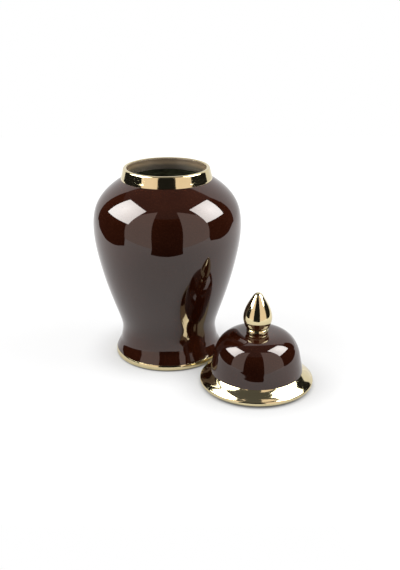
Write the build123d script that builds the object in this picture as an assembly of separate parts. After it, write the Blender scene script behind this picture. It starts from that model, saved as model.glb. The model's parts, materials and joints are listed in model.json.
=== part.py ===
from build123d import *
import math
import os

os.makedirs("parts", exist_ok=True)

# Everything is in millimetres. The jar stands on the table at height zero, round the Z axis.
# Its lid is shown taken off, standing on the same table in front of it and to the right.

# Jar body: outer radii and the heights they lie at
foot_radius = 75.2
waist_radius = 65.4
waist_height = 38.5
belly_radius = 100.0
belly_height = 184.0
shoulder_top_height = 250.5
neck_height = 15.0
jar_wall = 4.8
floor_thickness = 5.5
mouth_radius = 52.6

# Foot: the unglazed ring that the jar stands on, and the hollow inside it
foot_ring_inset = 4.6
foot_ring_width = 7.0
foot_hollow_depth = 4.0
foot_ring_bevel = 1.2
floor_corner_radius = 6.0

# Neck: its outside leans in towards the lip, which is rounder outside than inside. The collar
# reaches over the lip's top by an angle of its inner rounding.
neck_lean = 15.0
lip_width = 4.7
lip_outer_round = 2.8

# Polished metal mounts on the jar
collar_sheet = 1.0
collar_reach = 45.0
collar_roll = 3.0
band_sheet = 1.0
band_height = 8.4
band_straight_top = 3.8
band_roll = 1.8
band_clear_of_table = 1.2
band_hem = 1.6

# Lid: the ring that drops into the mouth, the brim that rests on the lip, and the dome
lid_clearance = 0.5
locating_ring_height = 11.0
locating_ring_wall = 4.0
locating_ring_round = 1.0
dome_step = 8.0
dome_foot_rise = 7.7
dome_rise = 53.5
dome_wall = 4.8
brim_width = 14.2
brim_slope = 39.0
brim_edge_round = 2.9
rim_sheet = 0.7
rim_hem = 4.0

# Finial: a beaded collar under a pointed bud, held by a stud, washers and a nut
finial_land_radius = 15.0
bead_radius = 14.3
bead_edge_radius = 13.3
bead_height = 5.0
bud_base_radius = 12.6
bud_radius = 18.7
bud_length = 49.1
stud_radius = 3.0
stud_clearance = 0.6
thread_clearance = 0.1
stud_in_bud = 14.0
stud_past_nut = 2.0
soft_washer_radius = 9.0
soft_washer_thickness = 1.5
steel_washer_radius = 7.5
steel_washer_thickness = 1.2
nut_across_flats = 10.0
nut_height = 5.0

# Where the lid stands: the gap between its brim and the jar's foot, and its bearing from +X
lid_gap = 5.9
lid_bearing = -40.5

# Shapes of the outlines between the named sizes: first the share of the height, then of the radius
foot_flare_shares = ((0.136, 0.205), (0.276, 0.438), (0.412, 0.659), (0.585, 0.813), (0.784, 0.932))
body_side_shares = ((0.17, 0.16), (0.43, 0.525), (0.72, 0.84))
shoulder_shares = ((0.47, 0.125), (0.66, 0.32), (0.83, 0.60))
dome_shares = (
    (0.108, 0.9875), (0.211, 0.972), (0.323, 0.953), (0.490, 0.922),
    (0.656, 0.865), (0.793, 0.782), (0.907, 0.656), (0.979, 0.468),
)
bud_shares = (
    (0.045, 0.815), (0.14, 0.925), (0.28, 1.0), (0.40, 0.973), (0.525, 0.882),
    (0.65, 0.743), (0.77, 0.567), (0.87, 0.406), (0.95, 0.255),
)

# Sizes that follow from the ones above
jar_height = shoulder_top_height + neck_height
lip_round = lip_width / 2
lip_middle_radius = mouth_radius + lip_round
lip_middle_height = jar_height - lip_round
lip_outer_height = jar_height - lip_outer_round
lean_cos = math.cos(math.radians(neck_lean))
lean_sin = math.sin(math.radians(neck_lean))
band_top_radius = foot_radius - band_sheet
band_hem_radius = foot_radius - band_roll - band_hem
floor_height = foot_hollow_depth + floor_thickness
locating_radius = mouth_radius - lid_clearance
locating_bore_radius = locating_radius - locating_ring_wall
dome_foot_radius = locating_radius + dome_step
dome_foot_height = locating_ring_height + dome_foot_rise
dome_top_height = dome_foot_height + dome_rise
dome_inside_height = dome_top_height - dome_wall
brim_radius = dome_foot_radius + brim_width
slope_cos = math.cos(math.radians(brim_slope))
slope_sin = math.sin(math.radians(brim_slope))
brim_middle_radius = brim_radius - brim_edge_round
brim_fall = (brim_middle_radius - dome_foot_radius) * slope_sin / slope_cos
brim_middle_height = dome_foot_height - brim_fall - brim_edge_round / slope_cos
bud_base_height = dome_top_height + bead_height
stud_hole_radius = stud_radius + stud_clearance
tapped_radius = stud_radius + thread_clearance
nut_top_height = dome_inside_height - soft_washer_thickness - steel_washer_thickness
stud_bottom_height = nut_top_height - nut_height - stud_past_nut
lid_distance = foot_radius + lid_gap + brim_radius
lid_place = Location(Vector(lid_distance, 0, 0).rotate(Axis.Z, lid_bearing))


def lathe(*edges):
    """Turns a closed outline of radius and height about the Z axis."""
    return revolve(Plane.XZ * make_face(list(edges)), Axis.Z)


def ring(inner, outer, bottom, top):
    """A plain flat ring."""
    corners = [(inner, bottom), (outer, bottom), (outer, top), (inner, top)]
    return lathe(*Polyline(*corners, close=True).edges())


def disc(radius, bottom, top):
    """A plain round bar or disc."""
    standing = (Align.CENTER, Align.CENTER, Align.MIN)
    return Location((0, 0, bottom)) * Cylinder(radius, top - bottom, align=standing)


def between(start, end, shares):
    """Outline points from start to end, each by its share of the height and of the radius."""
    points = []
    for height_share, radius_share in shares:
        radius = start[0] + radius_share * (end[0] - start[0])
        height = start[1] + height_share * (end[1] - start[1])
        points.append((radius, height))
    return points


def set_back(outline, depth, count):
    """Points a wall's thickness behind a rising outline, evenly spaced along it."""
    points = []
    for step in range(count + 1):
        place = outline @ (step / count)
        along = outline % (step / count)
        points.append((place.X - depth * along.Y, place.Y + depth * along.X))
    return points


# Neck outline, shared by the ceramic and the collar that lies over it

def lean_point(depth, height):
    """The point of the leaning neck at a height, set back by a depth from the collar's outside."""
    touch_radius = lip_middle_radius + (lip_outer_round - depth) * lean_cos
    touch_height = lip_outer_height + (lip_outer_round - depth) * lean_sin
    return (touch_radius + (touch_height - height) * lean_sin / lean_cos, height)


def lip_arcs(depth):
    """The lip under the collar in two arcs, from the leaning outside over its top to the collar's end."""
    outer_middle = (lip_middle_radius, lip_outer_height)
    inner_middle = (lip_middle_radius, lip_middle_height)
    outer = CenterArc(outer_middle, lip_outer_round - depth, neck_lean, 90 - neck_lean)
    inner = CenterArc(inner_middle, lip_round - depth, 90, collar_reach)
    return outer, inner


neck_root = lean_point(collar_sheet, shoulder_top_height)


def body_outline():
    """The glazed side from the top of the foot band to the neck's root."""
    foot = (band_top_radius, band_height)
    waist = (waist_radius, waist_height)
    belly = (belly_radius, belly_height)
    points = [foot, *between(foot, waist, foot_flare_shares), waist]
    points += [*between(waist, belly, body_side_shares), belly]
    points += [*between(belly, neck_root, shoulder_shares), neck_root]
    return Spline(*points)


def band_side(depth):
    """The foot's side behind the band at a depth: straight, then leaning in towards its top."""
    low = (foot_radius - depth, band_clear_of_table + band_roll)
    high = (foot_radius - depth, band_straight_top)
    top = (band_top_radius - depth, band_height)
    return Line(low, high), TangentArc(high, top, tangent=(0, 1))


def band_corner(depth):
    """The rolled lower corner of the foot, from its underside to its side, at a depth."""
    middle = (foot_radius - band_roll, band_clear_of_table + band_roll)
    return CenterArc(middle, band_roll - depth, -90, 90)


def jar_shell():
    """The ceramic jar's outside as a solid, with the seats of its two metal mounts."""
    ring_outer = foot_radius - foot_ring_inset
    ring_inner = ring_outer - foot_ring_width
    hem_end = (band_hem_radius, band_clear_of_table + band_sheet)
    corner = band_corner(band_sheet)
    straight, leaning = band_side(band_sheet)
    outline = body_outline()
    lip_outside, lip_inside = lip_arcs(collar_sheet)
    lip_middle = (lip_middle_radius, lip_middle_height)
    bare_lip = CenterArc(lip_middle, lip_round, 90 + collar_reach, 90 - collar_reach)
    collar_end = Line(lip_inside @ 1, bare_lip @ 0)
    lower = Polyline(
        (0, foot_hollow_depth),
        (ring_inner - foot_ring_bevel, foot_hollow_depth),
        (ring_inner, foot_ring_bevel),
        (ring_inner + foot_ring_bevel, 0),
        (ring_outer, 0),
        (band_hem_radius, foot_ring_bevel),
        hem_end,
        corner @ 0,
    )
    upper = Polyline(bare_lip @ 1, (0, lip_middle_height), (0, foot_hollow_depth))
    foot = (*lower.edges(), corner, straight, leaning)
    step = Line(leaning @ 1, outline @ 0)
    neck = Line(neck_root, lip_outside @ 0)
    lip = (lip_outside, lip_inside, collar_end, bare_lip)
    return lathe(*foot, step, outline, neck, *lip, *upper.edges())


def jar_cavity():
    """The space inside the jar, one wall behind its outside, up to the shoulder."""
    outline = body_outline()
    points = set_back(outline, jar_wall, 16)
    inside = Spline(*points)
    end = inside @ 1
    along = inside % 1
    peak = (0, end.Y - end.X * along.Y / along.X)
    start = inside @ 0
    closing = Polyline(end, peak, (0, start.Y), start)
    above_floor = disc(belly_radius + foot_radius, floor_height, jar_height)
    space = lathe(inside, *closing.edges()) & above_floor
    corner = space.edges().group_by(Axis.Z)[0]
    return fillet(corner, floor_corner_radius)


def jar_body():
    """The hollow ceramic jar."""
    mouth = disc(mouth_radius, shoulder_top_height - jar_wall, lip_middle_height)
    return jar_shell() - jar_cavity() - mouth


def neck_collar():
    """The metal collar over the neck and lip, which ends just inside the lip's top."""
    outer_low = lean_point(0, shoulder_top_height + collar_roll)
    outer_lip = lip_arcs(0)
    inner_lip = lip_arcs(collar_sheet)
    side = Line(outer_low, outer_lip[0] @ 0)
    roll = TangentArc(outer_low, neck_root, tangent=(lean_sin, -lean_cos))
    end = Line(outer_lip[1] @ 1, inner_lip[1] @ 1)
    back = Line(inner_lip[0] @ 0, neck_root)
    return lathe(roll, side, *outer_lip, end, *inner_lip, back)


def foot_band():
    """The metal band round the foot, rolled under at its lower edge."""
    outer_corner = band_corner(0)
    inner_corner = band_corner(band_sheet)
    outer_straight, outer_leaning = band_side(0)
    inner_straight, inner_leaning = band_side(band_sheet)
    hem = Polyline(
        outer_corner @ 0,
        (band_hem_radius, band_clear_of_table),
        (band_hem_radius, band_clear_of_table + band_sheet),
        inner_corner @ 0,
    )
    top = Line(outer_leaning @ 1, inner_leaning @ 1)
    outer = (outer_corner, outer_straight, outer_leaning)
    inner = (inner_corner, inner_straight, inner_leaning)
    return lathe(*outer, top, *inner, *hem.edges())


# Brim outline, shared by the ceramic and the metal rim that lies over it

def brim_top(depth):
    """The sloping top of the brim at a depth, from the dome's foot to the rounded edge."""
    start = (dome_foot_radius, dome_foot_height - depth / slope_cos)
    reach = brim_edge_round - depth
    end = (brim_middle_radius + reach * slope_sin, brim_middle_height + reach * slope_cos)
    return Line(start, end)


def brim_edge(depth):
    """The brim's rounded edge at a depth, from its top round to its underside."""
    middle = (brim_middle_radius, brim_middle_height)
    return CenterArc(middle, brim_edge_round - depth, 90 - brim_slope, -180)


def brim_under(depth, length):
    """The point of the brim's underside at a depth, some way in from its edge."""
    reach = brim_edge_round - depth
    radius = brim_middle_radius - reach * slope_sin - length * slope_cos
    height = brim_middle_height - reach * slope_cos + length * slope_sin
    return (radius, height)


def dome_outline():
    """The dome's outside, from its foot up to the flat land under the finial."""
    points = [(dome_foot_radius, dome_foot_height)]
    for height_share, radius_share in dome_shares:
        points.append((radius_share * dome_foot_radius, dome_foot_height + height_share * dome_rise))
    points.append((finial_land_radius, dome_top_height))
    return Spline(*points)


def lid_shell():
    """The lid's ceramic outside as a solid: locating ring, brim and dome."""
    low = locating_ring_round
    edge = brim_edge(rim_sheet)
    top = brim_top(rim_sheet)
    dome = dome_outline()
    under_rise = (locating_ring_height - brim_under(0, 0)[1]) / slope_sin
    seat_edge = brim_under(0, under_rise)
    corner = CenterArc((locating_radius - low, low), low, -90, 90)
    lower = Polyline(
        corner @ 1,
        (locating_radius, locating_ring_height),
        seat_edge,
        brim_under(0, rim_hem),
        brim_under(rim_sheet, rim_hem),
        edge @ 1,
    )
    foot_step = Line(top @ 0, dome @ 0)
    closing = Polyline(dome @ 1, (0, dome_top_height), (0, 0), corner @ 0)
    return lathe(corner, *lower.edges(), edge, top, foot_step, dome, *closing.edges())


def lid_cavity():
    """The space under the lid, inside its locating ring and one wall behind its dome."""
    points = set_back(dome_outline(), dome_wall, 12)
    inside = Spline(*points)
    start = inside @ 0
    end = inside @ 1
    blend = Line((locating_bore_radius, locating_ring_height), start)
    low = locating_ring_round
    mouth = CenterArc((locating_bore_radius + low, low), low, 180, 90)
    bore = Line((locating_bore_radius, low), (locating_bore_radius, locating_ring_height))
    closing = Polyline(end, (0, end.Y), (0, 0), mouth @ 1)
    return lathe(mouth, bore, blend, inside, *closing.edges())


def lid_dome():
    """The hollow ceramic lid, with a hole in its crown for the finial's stud."""
    hole = disc(stud_hole_radius, dome_inside_height - dome_wall, dome_top_height + dome_wall)
    return lid_shell() - lid_cavity() - hole


def lid_rim():
    """The metal rim over the brim, folded under its edge."""
    outer_top = brim_top(0)
    outer_edge = brim_edge(0)
    inner_top = brim_top(rim_sheet)
    inner_edge = brim_edge(rim_sheet)
    hem = Polyline(outer_edge @ 1, brim_under(0, rim_hem), brim_under(rim_sheet, rim_hem), inner_edge @ 1)
    foot = Line(inner_top @ 0, outer_top @ 0)
    return lathe(outer_top, outer_edge, *hem.edges(), inner_edge, inner_top, foot)


def finial_collar():
    """The beaded ring between the dome and the bud."""
    middle = (bead_radius, dome_top_height + bead_height / 2)
    bead = ThreePointArc((bead_edge_radius, dome_top_height), middle, (bead_edge_radius, bud_base_height))
    bore = Polyline(
        (bead_edge_radius, bud_base_height),
        (stud_hole_radius, bud_base_height),
        (stud_hole_radius, dome_top_height),
        (bead_edge_radius, dome_top_height),
    )
    return lathe(bead, *bore.edges())


def finial_bud():
    """The pointed bud, tapped from below for its stud."""
    points = [(bud_base_radius, bud_base_height)]
    for height_share, radius_share in bud_shares:
        points.append((radius_share * bud_radius, bud_base_height + height_share * bud_length))
    tip = (0, bud_base_height + bud_length)
    side = Spline(*points, tip)
    closing = Polyline(tip, (0, bud_base_height), points[0])
    hole = disc(tapped_radius, dome_top_height, bud_base_height + stud_in_bud + stud_clearance)
    return lathe(side, *closing.edges()) - hole


def finial_stud():
    """The threaded stud, as a plain bar, from the bud down through the dome and the nut."""
    return disc(stud_radius, stud_bottom_height, bud_base_height + stud_in_bud)


def soft_washer():
    """The soft washer against the glaze under the dome."""
    bottom = dome_inside_height - soft_washer_thickness
    return ring(stud_hole_radius, soft_washer_radius, bottom, dome_inside_height)


def steel_washer():
    """The steel washer between the soft one and the nut."""
    top = nut_top_height + steel_washer_thickness
    return ring(stud_hole_radius, steel_washer_radius, nut_top_height, top)


def finial_nut():
    """The hexagon nut on the stud."""
    hexagon = RegularPolygon(nut_across_flats / 2, 6, major_radius=False)
    body = extrude(hexagon, nut_height) - disc(tapped_radius, -nut_height, nut_height + nut_height)
    return Location((0, 0, nut_top_height - nut_height)) * body


def write(name, solid):
    """Writes one piece to its own file."""
    solid.label = name
    export_step(solid, "parts/" + name + ".step")


for make in (jar_body, neck_collar, foot_band):
    write(make.__name__, make())

finial_pieces = (finial_collar, finial_bud, finial_stud, soft_washer, steel_washer, finial_nut)
for make in (lid_dome, lid_rim, *finial_pieces):
    write(make.__name__, lid_place * make())
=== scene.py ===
import json
import math

import bpy
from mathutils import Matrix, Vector, noise


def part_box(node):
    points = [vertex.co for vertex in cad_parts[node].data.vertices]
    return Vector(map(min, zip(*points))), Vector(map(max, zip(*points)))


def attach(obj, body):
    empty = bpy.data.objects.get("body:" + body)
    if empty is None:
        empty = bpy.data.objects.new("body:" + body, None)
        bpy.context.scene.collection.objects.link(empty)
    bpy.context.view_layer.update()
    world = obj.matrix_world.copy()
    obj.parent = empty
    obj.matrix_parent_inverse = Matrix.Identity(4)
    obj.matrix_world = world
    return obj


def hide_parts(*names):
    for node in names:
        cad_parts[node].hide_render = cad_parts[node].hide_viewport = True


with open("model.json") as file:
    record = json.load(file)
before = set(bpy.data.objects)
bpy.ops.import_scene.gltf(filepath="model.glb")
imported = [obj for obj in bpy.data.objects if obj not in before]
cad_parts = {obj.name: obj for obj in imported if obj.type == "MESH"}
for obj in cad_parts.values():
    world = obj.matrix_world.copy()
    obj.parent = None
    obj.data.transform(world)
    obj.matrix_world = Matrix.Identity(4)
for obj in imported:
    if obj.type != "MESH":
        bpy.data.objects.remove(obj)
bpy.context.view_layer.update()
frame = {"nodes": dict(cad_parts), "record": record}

# Metres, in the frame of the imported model. Both turned bodies stand on their own vertical axis.
MM = 0.001
mounts = {mount["name"]: Vector(mount["pos_m"]) for mount in frame["record"]["mounts"]}
jar_axis = mounts["foot"]
lid_axis = mounts["lid_foot"]

# Camera, from the photograph's own perspective
camera_place = Vector((44.8, -1082.3, 522.1)) * MM
camera_pitch = 68.55
camera_roll = 0.11
camera_lens = 52.58
camera_sensor = 36.0

# Turned meshes: steps round, and how closely an outline is followed. Turns and bends are in degrees.
turn_steps = 320
corner_turn = 24.0
edge_round = 0.22 * MM
edge_side_share = 0.2
outline_step = 1.3 * MM
outline_turn = 3.0
straight_bend = 0.2
plain_straight_step = 6 * outline_step
relief_straight_step = outline_step / 2
longer_side = 3
seam_reach = 0.004 * MM
axis_reach = 0.01 * MM

# Waves of glaze and metal. The lowest part of a piece has none, so that it stands flat.
flat_foot = 2 * MM
wave_middle = 0.5
wave_offset = Vector((3.1, 7.7, 1.3))


def make_camera():
    """The camera at the photograph's viewpoint."""
    data = bpy.data.cameras.new("camera")
    data.lens = camera_lens
    data.sensor_width = camera_sensor
    camera = bpy.data.objects.new("camera", data)
    camera.location = camera_place
    camera.rotation_euler = (math.radians(camera_pitch), math.radians(camera_roll), 0)
    bpy.context.scene.collection.objects.link(camera)
    bpy.context.scene.camera = camera


# Node helpers

class Shader:
    """A material's node tree, with short calls for the nodes used here."""

    def __init__(self, name):
        self.material = bpy.data.materials.new(name)
        self.material.use_nodes = True
        self.tree = self.material.node_tree
        self.surface = self.tree.nodes["Principled BSDF"]
        place = self.tree.nodes.new("ShaderNodeTexCoord")
        self.place = place.outputs["Object"]

    def set(self, **values):
        """Sets constant sockets of the surface shader."""
        for name, value in values.items():
            self.surface.inputs[name.replace("_", " ")].default_value = value

    def node(self, kind, inputs=None, **settings):
        """A new node with its settings and its constant or linked inputs."""
        node = self.tree.nodes.new(kind)
        for name, value in settings.items():
            setattr(node, name, value)
        for name, value in (inputs or {}).items():
            if isinstance(value, bpy.types.NodeSocket):
                self.tree.links.new(value, node.inputs[name])
            else:
                node.inputs[name].default_value = value
        return node

    def noise(self, scale, detail, stretch=(1, 1, 1)):
        """Noise over the piece, finer along the axes with a larger stretch."""
        place = self.node("ShaderNodeMapping", {"Vector": self.place, "Scale": stretch})
        inputs = {"Vector": place.outputs[0], "Scale": scale, "Detail": detail}
        return self.node("ShaderNodeTexNoise", inputs).outputs["Fac"]

    def ramp(self, value, *stops):
        """A colour for each value, from stops of place and colour."""
        node = self.node("ShaderNodeValToRGB", {"Fac": value})
        elements = node.color_ramp.elements
        while len(elements) < len(stops):
            elements.new(1.0)
        for element, (place, colour) in zip(elements, stops):
            element.position = place
            element.color = (*colour, 1)
        return node.outputs["Color"]

    def range(self, value, low, high):
        """Brings a value between nought and one to the range from low to high."""
        inputs = {"Value": value, "To Min": low, "To Max": high}
        return self.node("ShaderNodeMapRange", inputs).outputs["Result"]

    def mix(self, share, first, second):
        """Mixes two colours."""
        inputs = {0: share, 6: first, 7: second}
        return self.node("ShaderNodeMix", inputs, data_type="RGBA").outputs[2]

    def bump(self, height, distance, under=None):
        """A bump of a height in metres, over another bump if there is one."""
        inputs = {"Height": height, "Distance": distance}
        if under is not None:
            inputs["Normal"] = under
        return self.node("ShaderNodeBump", inputs).outputs["Normal"]

    def link(self, **sockets):
        """Links sockets to the surface shader."""
        for name, socket in sockets.items():
            self.tree.links.new(socket, self.surface.inputs[name.replace("_", " ")])


# Materials. Colours are linear, noise scales are per metre and heights are in metres.

glaze_clouds = (
    (0.25, (0.022, 0.0040, 0.0012)),
    (0.50, (0.031, 0.0065, 0.0022)),
    (0.75, (0.042, 0.0095, 0.0036)),
)
glaze_speck_share = ((0.62, (0, 0, 0)), (0.74, (1, 1, 1)))
glaze_speck_colour = (0.075, 0.024, 0.012, 1)
glaze_mirror_tint = (1.0, 0.90, 0.86, 1)
gilt_tones = ((0.30, (0.61, 0.515, 0.30)), (0.70, (0.69, 0.59, 0.36)))
# Inside the neck, tone and painted light change with height between these two heights in metres.
neck_tone_and_painted_light_low = 0.2485
neck_tone_and_painted_light_high = 0.2625
inside_unevenness = 0.12
# Inside tones by height: greenish-grey clay below the neck, a painted dark ring of shade where the neck's
# bore ends, then brown painted lighter towards the lip where light falls in.
inside_tones_and_painted_light = (
    (0.0, (0.30, 0.31, 0.23)),
    (0.06, (0.045, 0.035, 0.022)),
    (0.45, (0.070, 0.054, 0.032)),
    (0.75, (0.22, 0.155, 0.085)),
    (1.0, (0.13, 0.088, 0.045)),
)
clay_line_share = 0.35
clay_rough_spread = 0.1
steel_tones = ((0.3, (0.46, 0.47, 0.49)), (0.7, (0.62, 0.62, 0.62)))
rubber_tones = ((0.3, (0.018, 0.018, 0.018)), (0.7, (0.035, 0.034, 0.033)))


def oxblood_glaze():
    """Deep red-brown glaze: clouds of darker and redder brown under a clear mirror surface."""
    shader = Shader("oxblood_glaze")
    colour = shader.ramp(shader.noise(scale=22, detail=4), *glaze_clouds)
    specks = shader.ramp(shader.noise(scale=1400, detail=1), *glaze_speck_share)
    shader.link(Base_Color=shader.mix(specks, colour, glaze_speck_colour))
    shader.link(Roughness=shader.range(shader.noise(scale=60, detail=3), low=0.02, high=0.05))
    shader.link(Normal=shader.bump(shader.noise(scale=220, detail=2), distance=0.004 * MM))
    shader.set(IOR=1.62, Specular_Tint=glaze_mirror_tint)
    return shader.material


def gilt_metal():
    """Mirror-polished pale gold, with faint polishing lines round the piece."""
    shader = Shader("gilt_metal")
    tone = shader.ramp(shader.noise(scale=35, detail=3), *gilt_tones)
    lines = shader.noise(scale=90, detail=3, stretch=(1, 1, 14))
    shader.link(Base_Color=tone)
    shader.link(Roughness=shader.range(lines, low=0.045, high=0.12))
    fine = shader.bump(lines, distance=0.003 * MM)
    shader.link(Normal=shader.bump(shader.noise(scale=120, detail=2), distance=0.010 * MM, under=fine))
    shader.set(Metallic=1.0)
    return shader.material


def jar_inside():
    """Brown inside the neck and greenish-grey clay further down, with painted light: a painted dark ring of
    shade where the neck's bore ends, and brown painted lighter towards the lip where light falls in.
    """
    shader = Shader("inside_clay_painted_light")
    height = shader.node("ShaderNodeSeparateXYZ", {"Vector": shader.place}).outputs["Z"]
    inputs = {"Value": height, "From Min": neck_tone_and_painted_light_low, "From Max": neck_tone_and_painted_light_high}
    level = shader.node("ShaderNodeMapRange", inputs).outputs["Result"]
    patches = shader.noise(scale=60, detail=4, stretch=(1, 1, 3))
    shift = shader.range(patches, low=-inside_unevenness, high=inside_unevenness)
    uneven = shader.node("ShaderNodeMath", {0: shift, 1: level}, operation="ADD").outputs[0]
    # Painted light: the height ramp darkens the foot of the neck and lightens its upper part.
    shader.link(Base_Color=shader.ramp(uneven, *inside_tones_and_painted_light))
    shader.link(Roughness=shader.range(patches, low=0.45, high=0.7))
    grit = shader.bump(shader.noise(scale=1500, detail=3), distance=0.03 * MM)
    lines = shader.noise(scale=25, detail=3, stretch=(1, 1, 12))
    shader.link(Normal=shader.bump(lines, distance=0.10 * MM, under=grit))
    return shader.material


def bare_clay(name, dark, light, rough):
    """Unglazed clay with fine grit and faint turning lines."""
    shader = Shader(name)
    blotches = shader.noise(scale=40, detail=5)
    lines = shader.noise(scale=25, detail=3, stretch=(1, 1, 16))
    blotched = shader.ramp(blotches, (0.3, dark), (0.7, light))
    lined = shader.ramp(lines, (0.35, dark), (0.65, light))
    shader.link(Base_Color=shader.mix(clay_line_share, blotched, lined))
    low, high = rough - clay_rough_spread, rough + clay_rough_spread
    shader.link(Roughness=shader.range(blotches, low, high))
    grit = shader.bump(shader.noise(scale=1800, detail=3), distance=0.05 * MM)
    shader.link(Normal=shader.bump(lines, distance=0.12 * MM, under=grit))
    return shader.material


def plain_steel():
    """Bright zinc-plated steel, faintly mottled."""
    shader = Shader("steel")
    shader.link(Base_Color=shader.ramp(shader.noise(scale=300, detail=4), *steel_tones))
    shader.link(Roughness=shader.range(shader.noise(scale=500, detail=2), low=0.22, high=0.42))
    shader.link(Normal=shader.bump(shader.noise(scale=900, detail=2), distance=0.01 * MM))
    shader.set(Metallic=1.0)
    return shader.material


def washer_rubber():
    """Matt black rubber with a fine moulded grain."""
    shader = Shader("soft_washer")
    shader.link(Base_Color=shader.ramp(shader.noise(scale=400, detail=3), *rubber_tones))
    shader.link(Roughness=shader.range(shader.noise(scale=700, detail=2), low=0.6, high=0.8))
    shader.link(Normal=shader.bump(shader.noise(scale=2500, detail=2), distance=0.03 * MM))
    return shader.material


# Outlines of the turned pieces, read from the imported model

def seam_outline(node, axis):
    """The outline of a turned CAD node as (radius, height), in order, from the vertices on its seam."""
    mesh = frame["nodes"][node].data
    found = {}
    on_seam = {}
    for vertex in mesh.vertices:
        radius = vertex.co.x - axis.x
        if abs(vertex.co.y - axis.y) < seam_reach and radius > -seam_reach:
            key = (round(max(radius, 0) / seam_reach), round(vertex.co.z / seam_reach))
            found.setdefault(key, (max(radius, 0), vertex.co.z))
            on_seam[vertex.index] = key
    joined = {key: set() for key in found}
    for edge in mesh.edges:
        first, second = (on_seam.get(index) for index in edge.vertices)
        if first and second and first != second:
            joined[first].add(second)
            joined[second].add(first)
    ends = [key for key in joined if len(joined[key]) == 1]
    here = min(ends or joined, key=lambda key: (key[1], key[0]))
    chain = [here]
    left = set(joined) - {here}
    while left & joined[here]:
        here = min(left & joined[here])
        chain.append(here)
        left.discard(here)
    points = [Vector(found[key]) for key in chain]
    if ends:
        points = [Vector((0, points[0].y)), *points, Vector((0, points[-1].y))]
    spaced = points[:1]
    for before, point in zip(points, points[1:]):
        if (point - before).length > seam_reach:
            spaced.append(point)
    twice_area = sum(a.x * b.y - b.x * a.y for a, b in zip(spaced, spaced[1:] + spaced[:1]))
    return spaced if twice_area > 0 else spaced[::-1], not ends


def turn_between(before, here, after):
    """Degrees that the outline turns at a point."""
    return math.degrees((here - before).angle(after - here, 0))


def tangent(before, here, after):
    """Direction at a smooth point: along a much longer side, or else between both."""
    first, second = here - before, after - here
    if first.length > longer_side * second.length:
        return first.normalized()
    if second.length > longer_side * first.length:
        return second.normalized()
    return (first.normalized() * second.length + second.normalized() * first.length).normalized()


def smooth_run(points, straight_step):
    """A denser run through points that follow one smooth line."""
    if len(points) == 2:
        steps = max(1, math.ceil((points[1] - points[0]).length / straight_step))
        return [points[0].lerp(points[1], step / steps) for step in range(steps + 1)]
    ways = [tangent(*points[index - 1:index + 2]) for index in range(1, len(points) - 1)]
    first, last = (points[1] - points[0]), (points[-1] - points[-2])
    first_way = (2 * first.normalized() - ways[0]).normalized()
    last_way = (2 * last.normalized() - ways[-1]).normalized()
    ways = [first_way, *ways, last_way]
    run = [points[0]]
    for index in range(len(points) - 1):
        start, end = points[index], points[index + 1]
        length = (end - start).length
        bend = math.degrees(ways[index].angle(ways[index + 1], 0))
        steps = max(1, math.ceil(length / outline_step), math.ceil(bend / outline_turn))
        if bend < straight_bend:
            steps = max(1, math.ceil(length / straight_step))
        for step in range(1, steps + 1):
            t = step / steps
            place = start * (2 * t**3 - 3 * t**2 + 1) + end * (3 * t**2 - 2 * t**3)
            place += (ways[index] * (t**3 - 2 * t**2 + t) + ways[index + 1] * (t**3 - t**2)) * length
            run.append(place)
    return run


def soft_corner(before, here, after):
    """Five points that round a sharp corner; the outer two keep both its sides flat."""
    back_side, on_side = before - here, after - here
    reach = min(edge_round, edge_side_share * back_side.length, edge_side_share * on_side.length)
    back, on = back_side.normalized() * reach, on_side.normalized() * reach
    # A quarter of both is the middle of the parabola that leaves the two sides smoothly
    middle = here + (back + on) / 4
    return [here + 2 * back, here + back, middle, here + on, here + 2 * on]


def fine_outline(node, axis, straight_step):
    """The node's outline with smooth runs made denser and sharp corners rounded."""
    points, closed = seam_outline(node, axis)
    count = len(points)
    corners = []
    for index in range(count):
        if closed or 0 < index < count - 1:
            sides = points[index - 1], points[index], points[(index + 1) % count]
            if turn_between(*sides) > corner_turn:
                corners.append(index)
    if closed:
        points = points[corners[0]:] + points[:corners[0]] + [points[corners[0]]]
        corners = [index - corners[0] for index in corners] + [count]
    else:
        corners = [0, *corners, count - 1]
    runs = [smooth_run(points[start:end + 1], straight_step) for start, end in zip(corners, corners[1:])]
    outline = []
    for number, run in enumerate(runs):
        earlier = runs[number - 1] if number or closed else None
        outline += soft_corner(earlier[-2], run[0], run[1]) if earlier else [run[0]]
        outline += run[1:-1]
    if not closed:
        outline.append(runs[-1][-1])
    return outline, closed


def relieved(outline, relief):
    """The outline with each point moved out by what the relief gives for its place and normal."""
    moved = []
    for index, point in enumerate(outline):
        along = (outline[(index + 1) % len(outline)] - outline[index - 1]).normalized()
        out = Vector((along.y, -along.x))
        moved.append(point + out * relief(point, out))
    return moved


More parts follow.
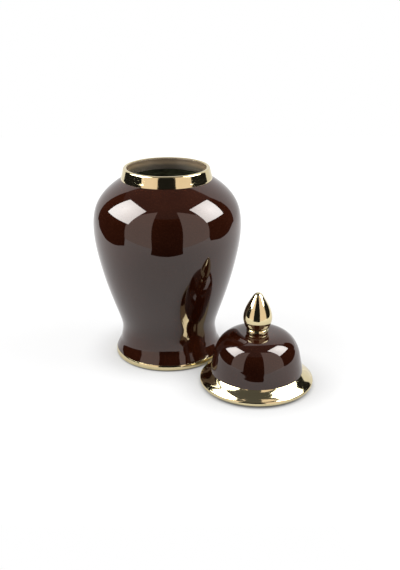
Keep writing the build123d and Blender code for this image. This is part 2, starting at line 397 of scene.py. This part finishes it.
def turned(name, node, axis, body, materials, zone=None, wave=None, relief=None):
    """A turned piece that stands for a CAD node: its outline spun round the axis, with slight waves."""
    outline, closed = fine_outline(node, axis, relief_straight_step if relief else plain_straight_step)
    if relief:
        outline = relieved(outline, relief)
    lowest = min(point.y for point in outline)
    vertices, rings = [], []
    for index, point in enumerate(outline):
        before = outline[index - 1] if closed or index else point
        after = outline[(index + 1) % len(outline)] if closed or index < len(outline) - 1 else point
        along = (after - before).normalized()
        out = Vector((along.y, -along.x))
        steps = 1 if point.x < axis_reach else turn_steps
        rings.append([len(vertices) + step for step in range(steps)])
        for step in range(steps):
            angle = math.tau * step / turn_steps
            round_way = Vector((math.cos(angle), math.sin(angle), 0))
            place = round_way * point.x + Vector((0, 0, point.y))
            if wave and steps > 1 and point.y - lowest > flat_foot:
                depth, length = wave
                deep = max(0, wave_middle + noise.noise(place / length + wave_offset))
                place -= (round_way * out.x + Vector((0, 0, out.y))) * depth * deep
            vertices.append(place + axis)
    faces, kinds = [], []
    pairs = list(zip(rings, rings[1:] + rings[:1] if closed else rings[1:]))
    for number, (low, high) in enumerate(pairs):
        start, end = outline[number], outline[(number + 1) % len(outline)]
        out = Vector((end.y - start.y, start.x - end.x)).normalized()
        kind = zone((start + end) / 2, out) if zone else 0
        for step in range(turn_steps):
            after = (step + 1) % turn_steps
            if len(low) == 1 and len(high) == 1:
                break
            if len(low) == 1:
                face = (low[0], high[after], high[step])
            elif len(high) == 1:
                face = (low[step], low[after], high[0])
            else:
                face = (low[step], low[after], high[after], high[step])
            faces.append(face)
            kinds.append(kind)
    piece = new_mesh(name, vertices, faces, materials, kinds)
    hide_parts(node)
    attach(piece, body)


def new_mesh(name, vertices, faces, materials, kinds=None):
    """A smooth mesh object at the origin."""
    mesh = bpy.data.meshes.new(name)
    mesh.from_pydata(vertices, [], faces)
    for material in materials:
        mesh.materials.append(material)
    mesh.polygons.foreach_set("use_smooth", [True] * len(faces))
    if kinds:
        mesh.polygons.foreach_set("material_index", kinds)
    mesh.update()
    piece = bpy.data.objects.new(name, mesh)
    bpy.context.scene.collection.objects.link(piece)
    return piece


# Studio, traced from what the glaze mirrors. Its places, heights and radius are in millimetres,
# lengths times MM in metres.

softboxes = {
    "left": ((-831, 213, 1264), (-476, -479, 1124), (-609, -394, 395), (-965, 297, 507)),
    "right": ((880, 306, 1210), (489, -365, 1058), (806, -406, 456), (1197, 265, 577)),
}
softbox_light = 15.0
softbox_edge_light = 11.0
softbox_colour = (0.96, 1.0, 1.0)
# Middle and edge of a softbox in its generated coordinates, which run from nought to one
panel_middle = (0.5, 0.5, 0.5)
panel_edge = 0.65
lamp_power = 9.5
lamp_aim = (60, -50, 100)

boards = {
    "left": ((-196, -540), (-900, -480)),
    "right": ((233, -540), (900, -425)),
}
board_inner_height = 1070
board_outer_height = 820
board_light = 1.2
board_colour = (1.0, 0.86, 0.79)

room_radius = 2600
room_height = 2600
# Degrees from +X to both ends of the wall
room_ends = (-219, 31)
room_wall_steps = 24
ceiling_back_corners = ((800, 900), (-578, 620))
ceiling_light = 0.11
dark_flag = ((746, 405), (900, 380))
dark_flag_low = 100
dark_flag_high = 700
dark_light = 0.015

floor_corners = (
    (-160, -402), (175, -402), (233, -540), (900, -425), (669, -297), (682, -68), (821, 188),
    (1400, 700), (1400, 1500), (-1300, 1500), (-1300, 900), (-839, 470), (-607, 118), (-526, -105),
    (-504, -272), (-900, -490), (-196, -540),
)
floor_colour = 0.28
floor_roughness = 0.6
floor_lift = 0.73
floor_far_lift = 1.0
floor_near = 250 * MM
floor_far = 700 * MM
floor_shade_reach = 60 * MM
room_light = 0.25


def glow(name, strength, edge=None, colour=(1, 1, 1)):
    """An evenly lit surface, or one that is dimmer towards its edges."""
    material = bpy.data.materials.new(name)
    material.use_nodes = True
    tree = material.node_tree
    tree.nodes.clear()
    light = tree.nodes.new("ShaderNodeEmission")
    light.inputs["Strength"].default_value = strength
    light.inputs["Color"].default_value = (*colour, 1)
    output = tree.nodes.new("ShaderNodeOutputMaterial")
    tree.links.new(light.outputs[0], output.inputs["Surface"])
    if edge is not None:
        place = tree.nodes.new("ShaderNodeTexCoord")
        centred = tree.nodes.new("ShaderNodeVectorMath")
        centred.operation = "SUBTRACT"
        centred.inputs[1].default_value = panel_middle
        distance = tree.nodes.new("ShaderNodeVectorMath")
        distance.operation = "LENGTH"
        fade = tree.nodes.new("ShaderNodeMapRange")
        fade.inputs["From Max"].default_value = panel_edge
        fade.inputs["To Min"].default_value = strength
        fade.inputs["To Max"].default_value = edge
        tree.links.new(place.outputs["Generated"], centred.inputs[0])
        tree.links.new(centred.outputs[0], distance.inputs[0])
        tree.links.new(distance.outputs["Value"], fade.inputs["Value"])
        tree.links.new(fade.outputs["Result"], light.inputs["Strength"])
    return material


def show_in_mirrors(piece):
    """Hides a piece from the camera, from diffuse light and from shadows, so that only reflections show it.
    """
    piece.visible_camera = False
    piece.visible_diffuse = False
    piece.visible_shadow = False


def panel(name, corners, material):
    """A flat panel of the studio."""
    vertices = [Vector(corner) * MM for corner in corners]
    show_in_mirrors(new_mesh(name, vertices, [tuple(range(len(vertices)))], [material]))


def make_softboxes():
    """Two softboxes: a lamp for the light and a panel for the reflection."""
    for side, corners in softboxes.items():
        shine = glow("softbox_" + side, softbox_light, softbox_edge_light, softbox_colour)
        panel("softbox_" + side, corners, shine)
        first, second, third, fourth = (Vector(corner) * MM for corner in corners)
        middle = (first + second + third + fourth) / 4
        data = bpy.data.lights.new("lamp_" + side, "AREA")
        data.shape = "RECTANGLE"
        data.size = (second - first).length
        data.size_y = (third - second).length
        data.energy = lamp_power
        lamp = bpy.data.objects.new("lamp_" + side, data)
        lamp.location = middle
        lamp.rotation_euler = (Vector(lamp_aim) * MM - middle).to_track_quat("-Z", "Y").to_euler()
        lamp.visible_glossy = False
        lamp.visible_transmission = False
        bpy.context.scene.collection.objects.link(lamp)


def make_boards():
    """Two tall white boards in front, with a gap between them for the camera."""
    white = glow("white_board", board_light, colour=board_colour)
    for side, (inner, outer) in boards.items():
        corners = ((*inner, 0), (*outer, 0), (*outer, board_outer_height), (*inner, board_inner_height))
        panel("board_" + side, corners, white)


def make_room():
    """The dark room round the front and sides, its dim ceiling, and a small dark flag at the back right."""
    dark = glow("dark_room", dark_light)
    left, right = room_ends
    vertices = []
    rim = []
    for step in range(room_wall_steps + 1):
        angle = math.radians(left + (right - left) * step / room_wall_steps)
        x, y = room_radius * math.cos(angle), room_radius * math.sin(angle)
        vertices += [(x, y, -room_radius), (x, y, room_height)]
        rim.append((x, y, room_height))
    faces = [(2 * step, 2 * step + 2, 2 * step + 3, 2 * step + 1) for step in range(room_wall_steps)]
    show_in_mirrors(new_mesh("dark_room", [Vector(vertex) * MM for vertex in vertices], faces, [dark]))
    rim += [(x, y, room_height) for x, y in ceiling_back_corners]
    panel("dim_ceiling", rim, glow("dim_ceiling", ceiling_light))
    near, far = dark_flag
    low_corners = ((*near, dark_flag_low), (*far, dark_flag_low))
    high_corners = ((*far, dark_flag_high), (*near, dark_flag_high))
    panel("dark_flag", low_corners + high_corners, dark)


def make_floor():
    """The pale floor, lifted a little by a glow so that it is white where no shadow lies, with a painted
    shadow where ambient occlusion dims that glow near the object.
    """
    shader = Shader("pale_floor")
    shader.set(Base_Color=(floor_colour, floor_colour, floor_colour, 1), Roughness=floor_roughness)
    shader.set(Specular_IOR_Level=0.0, Emission_Color=(1, 1, 1, 1))
    # Painted shadow: ambient occlusion dims the floor's glow near the object.
    open_share = shader.node("ShaderNodeAmbientOcclusion", {"Distance": floor_shade_reach}).outputs["AO"]
    distance = shader.node("ShaderNodeVectorMath", {0: shader.place}, operation="LENGTH").outputs["Value"]
    inputs = {
        "Value": distance,
        "From Min": floor_near,
        "From Max": floor_far,
        "To Min": floor_lift,
        "To Max": floor_far_lift,
    }
    lift = shader.node("ShaderNodeMapRange", inputs).outputs["Result"]
    glow_with_painted_shadow = shader.node("ShaderNodeMath", {0: open_share, 1: lift}, operation="MULTIPLY")
    shader.link(Emission_Strength=glow_with_painted_shadow.outputs[0])
    corners = [Vector((x, y, 0)) * MM for x, y in floor_corners]
    floor = new_mesh("pale_floor", corners, [tuple(range(len(corners)))], [shader.material])
    floor.visible_diffuse = False


def make_world():
    """White to the camera and in reflections, and a plain even light on the object."""
    world = bpy.data.worlds.new("studio")
    world.use_nodes = True
    tree = world.node_tree
    back = tree.nodes["Background"]
    path = tree.nodes.new("ShaderNodeLightPath")
    seen = tree.nodes.new("ShaderNodeMath")
    seen.operation = "MAXIMUM"
    tree.links.new(path.outputs["Is Camera Ray"], seen.inputs[0])
    tree.links.new(path.outputs["Is Glossy Ray"], seen.inputs[1])
    also = tree.nodes.new("ShaderNodeMath")
    also.operation = "MAXIMUM"
    tree.links.new(seen.outputs[0], also.inputs[0])
    tree.links.new(path.outputs["Is Transmission Ray"], also.inputs[1])
    strength = tree.nodes.new("ShaderNodeMapRange")
    strength.inputs["To Min"].default_value = room_light
    strength.inputs["To Max"].default_value = 1.0
    tree.links.new(also.outputs[0], strength.inputs["Value"])
    tree.links.new(strength.outputs["Result"], back.inputs["Strength"])
    back.inputs["Color"].default_value = (1, 1, 1, 1)
    bpy.context.scene.world = world


make_camera()
make_world()
make_floor()
make_softboxes()
make_boards()
make_room()
bpy.context.scene.view_settings.view_transform = "Standard"

# Object. Outline points are radius and height, in metres; out is the outline's outward direction.

foot_ring_top = 4.5 * MM
foot_ring_radius = 71.2 * MM
lid_ring_top = 13 * MM

rim_low, rim_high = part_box("lid_rim")
rim_radius = (rim_high.x - rim_low.x) / 2
brim_edge_inset = 2 * MM
brim_outer_radius = rim_radius - brim_edge_inset
brim_inner_radius = min(point.x for point in seam_outline("lid_rim", lid_axis)[0])
brim_top_facing = 0.2
brim_ogee_depth = 0.16 * MM
brim_low_inset = 1.5 * MM
brim_low_rise = 0.4 * MM
brim_low_edge = Vector((rim_radius - brim_low_inset, rim_low.z + brim_low_rise))
brim_low_reach = 2.2 * MM
brim_low_depth = 0.7 * MM

collar_low, collar_high = (corner.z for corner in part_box("neck_collar"))
collar_upright_depth = 0.35 * MM
collar_flare_depth = 0.9 * MM
collar_flare_reach = 1.4 * MM

dome_side_facing = 0.9
dome_full_height = 26 * MM
dome_full_reach = 5 * MM
dome_full_depth = 0.10 * MM

# Depth and length of each piece's waves
jar_wave = (0.05 * MM, 45 * MM)
collar_wave = (0.05 * MM, 14 * MM)
band_wave = (0.05 * MM, 16 * MM)
dome_wave = (0.015 * MM, 30 * MM)
brim_wave = (0.05 * MM, 12 * MM)
finial_collar_wave = (0.03 * MM, 10 * MM)
bud_wave = (0.05 * MM, 14 * MM)


def jar_zone(place, out):
    """Which finish the jar has at a point of its outline: 0 glaze, 1 inside clay, 2 foot clay."""
    if place.y < foot_ring_top and place.x < foot_ring_radius:
        return 2
    return 0 if out.x > 0 else 1


def lid_zone(place, out):
    """Which finish the lid has at a point of its outline: 0 glaze, 1 clay."""
    return 0 if place.y > lid_ring_top and (out.x > 0 or out.y > 0) else 1


def bell(offset):
    """One at no offset, and smoothly down to nought on both sides."""
    return math.exp(-offset**2 / 2)


def brim_ogee(place, out):
    """How far the brim stands out: hollow next to the dome, full near its edge, fuller at its lower edge."""
    if out.y < 0:
        return -out.y * brim_low_depth * bell((place - brim_low_edge).length / brim_low_reach)
    share = (place.x - brim_inner_radius) / (brim_outer_radius - brim_inner_radius)
    if min(out.x, out.y) < brim_top_facing or not 0 < share < 1:
        return 0
    return -brim_ogee_depth * math.sin(math.tau * share)


def collar_flare(place, out):
    """How far the collar's outside stands out: a more upright side, and a little flare at the shoulder."""
    if out.x < 0:
        return 0
    above = place.y - collar_low
    upright = out.x * collar_upright_depth * above / (collar_high - collar_low)
    return upright + collar_flare_depth * math.exp(-above / collar_flare_reach)


def dome_fullness(place, out):
    """How far the dome's side stands out: a slight fullness just above its foot."""
    if out.x < dome_side_facing:
        return 0
    return dome_full_depth * bell((place.y - dome_full_height) / dome_full_reach)


glaze = oxblood_glaze()
gilt = gilt_metal()
inside_clay_painted_light = jar_inside()
lid_clay = bare_clay("lid_clay", dark=(0.30, 0.24, 0.18), light=(0.46, 0.39, 0.31), rough=0.8)
foot_clay = bare_clay("foot_clay", dark=(0.42, 0.34, 0.26), light=(0.58, 0.50, 0.41), rough=0.85)
steel = plain_steel()
rubber = washer_rubber()

turned("jar_glazed_body", "jar_body", jar_axis, "jar", [glaze, inside_clay_painted_light, foot_clay],
       zone=jar_zone, wave=jar_wave)
turned("jar_neck_collar", "neck_collar", jar_axis, "jar", [gilt],
       wave=collar_wave, relief=collar_flare)
turned("jar_foot_band", "foot_band", jar_axis, "jar", [gilt], wave=band_wave)

turned("lid_glazed_dome", "lid_dome", lid_axis, "lid", [glaze, lid_clay],
       zone=lid_zone, wave=dome_wave, relief=dome_fullness)
turned("lid_brim_rim", "lid_rim", lid_axis, "lid", [gilt], wave=brim_wave, relief=brim_ogee)
turned("lid_finial_collar", "finial_collar", lid_axis, "lid", [gilt], wave=finial_collar_wave)
turned("lid_finial_bud", "finial_bud", lid_axis, "lid", [gilt], wave=bud_wave)
turned("lid_soft_washer", "soft_washer", lid_axis, "lid", [rubber])
turned("lid_steel_washer", "steel_washer", lid_axis, "lid", [steel])

for node in ("finial_stud", "finial_nut"):
    mesh = frame["nodes"][node].data
    mesh.materials.clear()
    mesh.materials.append(steel)
